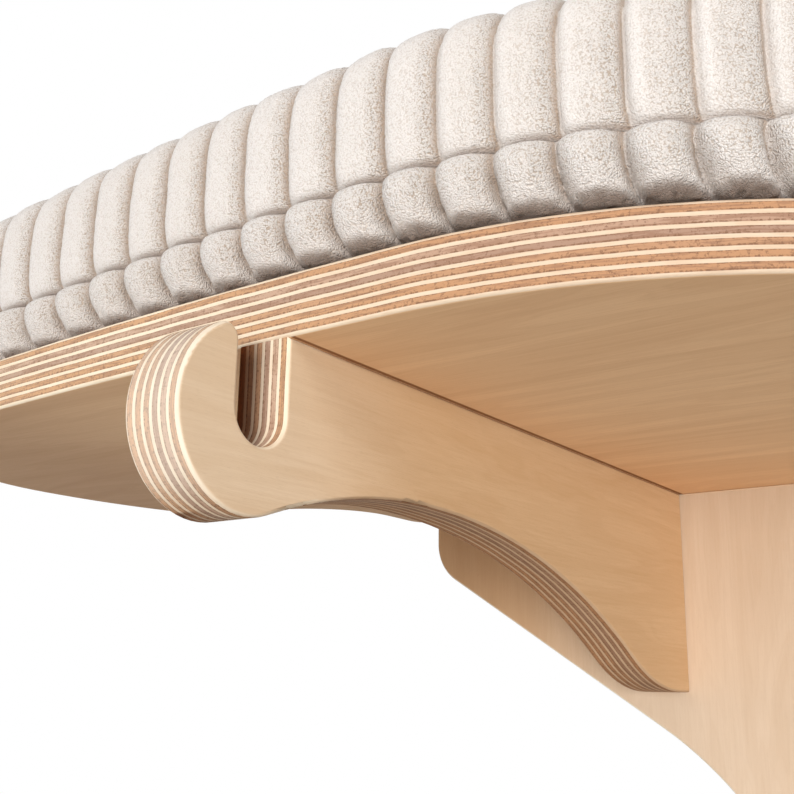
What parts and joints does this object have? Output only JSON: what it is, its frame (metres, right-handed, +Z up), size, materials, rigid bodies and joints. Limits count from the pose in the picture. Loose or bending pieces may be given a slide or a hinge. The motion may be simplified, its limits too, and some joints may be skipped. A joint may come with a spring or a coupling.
{
  "type": "cat wall shelf",
  "caption": "Wall shelf for a cat: a rounded plywood board on a hooked plywood bracket and wall plate, with a thick ribbed plush cushion that lifts off.",
  "frame": {"origin": "on the wall plane, in the bracket's middle plane, level with the two upper wall screws", "axes": "+X along the wall to the right as one faces it, -Y into the room, +Z up"},
  "size_m": [0.451, 0.3225, 0.273],
  "materials": {
    "board_plywood": "satin lacquered birch plywood",
    "plate_plywood": "satin lacquered birch plywood",
    "bracket_plywood": "satin lacquered birch plywood",
    "screw_steel": "zinc plated",
    "dowel_beech": "plain beech",
    "patch_nylon": "hook-and-loop tape",
    "ribbed_plush": "ribbed plush pile",
    "foam": "open cell foam",
    "seam_fabric": "woven seam allowance",
    "zip_fabric": "woven tape",
    "zip_plastic": "moulded plastic",
    "zip_metal": "satin plated"
  },
  "bodies": {
    "shelf": {"shelf_board": "board_plywood", "wall_plate": "plate_plywood", "hook_bracket": "bracket_plywood", "board_plate_screws": "screw_steel", "board_bracket_screws": "screw_steel", "plate_bracket_screws": "screw_steel", "board_plate_dowels": "dowel_beech", "board_bracket_dowels": "dowel_beech", "plate_bracket_dowel": "dowel_beech", "hook_patches": "patch_nylon"},
    "cushion": {"cushion_top_panel": "ribbed_plush", "cushion_bottom_panel": "ribbed_plush", "cushion_foam_core": "foam", "perimeter_seam": "seam_fabric", "loop_patches": "patch_nylon", "zip_tapes": "zip_fabric", "zip_teeth": "zip_plastic", "zip_end_stops": "zip_metal"},
    "slider": {"zip_slider": "zip_metal"},
    "pull": {"zip_pull": "zip_metal"}
  },
  "joints": [
    {"name": "cushion_lift", "type": "slide", "parent": "shelf", "child": "cushion", "axis": [0, 0, 1], "range_m": [0, 0.2]},
    {"name": "zip_slide", "type": "slide", "parent": "cushion", "child": "slider", "axis": [1, 0, 0], "range_m": [0, 0.168]},
    {"name": "pull_hinge", "type": "hinge", "parent": "slider", "child": "pull", "pos_m": [-0.0841, -0.00365, 0.05], "axis": [0, 0, 1], "range_deg": [0, 165]}
  ]
}
